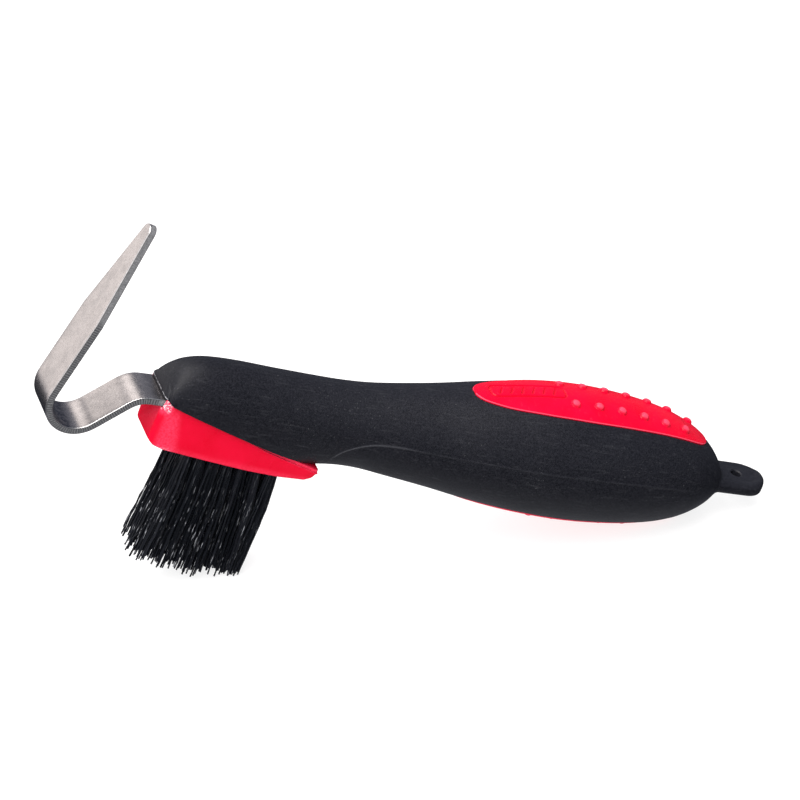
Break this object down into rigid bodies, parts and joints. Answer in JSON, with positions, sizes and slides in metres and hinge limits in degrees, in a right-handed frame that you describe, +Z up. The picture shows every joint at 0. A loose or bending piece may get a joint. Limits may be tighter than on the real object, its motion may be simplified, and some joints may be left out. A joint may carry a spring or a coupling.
{
  "type": "hoof pick",
  "caption": "Hand-held hoof pick: a bent flat steel pick and a stiff bristle brush on a contoured rubber-gripped handle with a hanging tab.",
  "frame": {"origin": "on the surface the tool stands on, under the middle of its bounding box", "axes": "+X from the pick towards the hanging tab, +Y across the handle, +Z up; the tool stands on its bristle tips and the belly of its handle, its handle axis 16.2 degrees tail down"},
  "size_m": [0.2148, 0.038, 0.1145],
  "materials": {
    "steel": "satin, with fine scratches and dark sheared edges",
    "core_plastic": "moulded, hidden",
    "black_rubber": "matte moulded rubber",
    "red_pad": "satin soft plastic",
    "red_block": "satin moulded plastic, slightly scuffed",
    "bristle": "glossy nylon filament",
    "staple_wire": "drawn flat wire, hidden"
  },
  "bodies": {
    "root": {"pick_blade": "steel", "handle_core": "core_plastic", "rubber_grip": "black_rubber", "top_grip_pad": "red_pad", "bottom_grip_pad": "red_pad", "brush_block": "red_block", "bristle_tuft_01": "bristle", "bristle_tuft_02": "bristle", "bristle_tuft_03": "bristle", "bristle_tuft_04": "bristle", "bristle_tuft_05": "bristle", "bristle_tuft_06": "bristle", "bristle_tuft_07": "bristle", "bristle_tuft_08": "bristle", "bristle_tuft_09": "bristle", "bristle_tuft_10": "bristle", "bristle_tuft_11": "bristle", "bristle_tuft_12": "bristle", "bristle_tuft_13": "bristle", "bristle_tuft_14": "bristle", "bristle_tuft_15": "bristle", "bristle_tuft_16": "bristle", "bristle_tuft_17": "bristle", "bristle_tuft_18": "bristle", "bristle_tuft_19": "bristle", "bristle_tuft_20": "bristle", "bristle_tuft_21": "bristle", "tuft_staple_01": "staple_wire", "tuft_staple_02": "staple_wire", "tuft_staple_03": "staple_wire", "tuft_staple_04": "staple_wire", "tuft_staple_05": "staple_wire", "tuft_staple_06": "staple_wire", "tuft_staple_07": "staple_wire", "tuft_staple_08": "staple_wire", "tuft_staple_09": "staple_wire", "tuft_staple_10": "staple_wire", "tuft_staple_11": "staple_wire", "tuft_staple_12": "staple_wire", "tuft_staple_13": "staple_wire", "tuft_staple_14": "staple_wire", "tuft_staple_15": "staple_wire", "tuft_staple_16": "staple_wire", "tuft_staple_17": "staple_wire", "tuft_staple_18": "staple_wire", "tuft_staple_19": "staple_wire", "tuft_staple_20": "staple_wire", "tuft_staple_21": "staple_wire"}
  },
  "joints": []
}
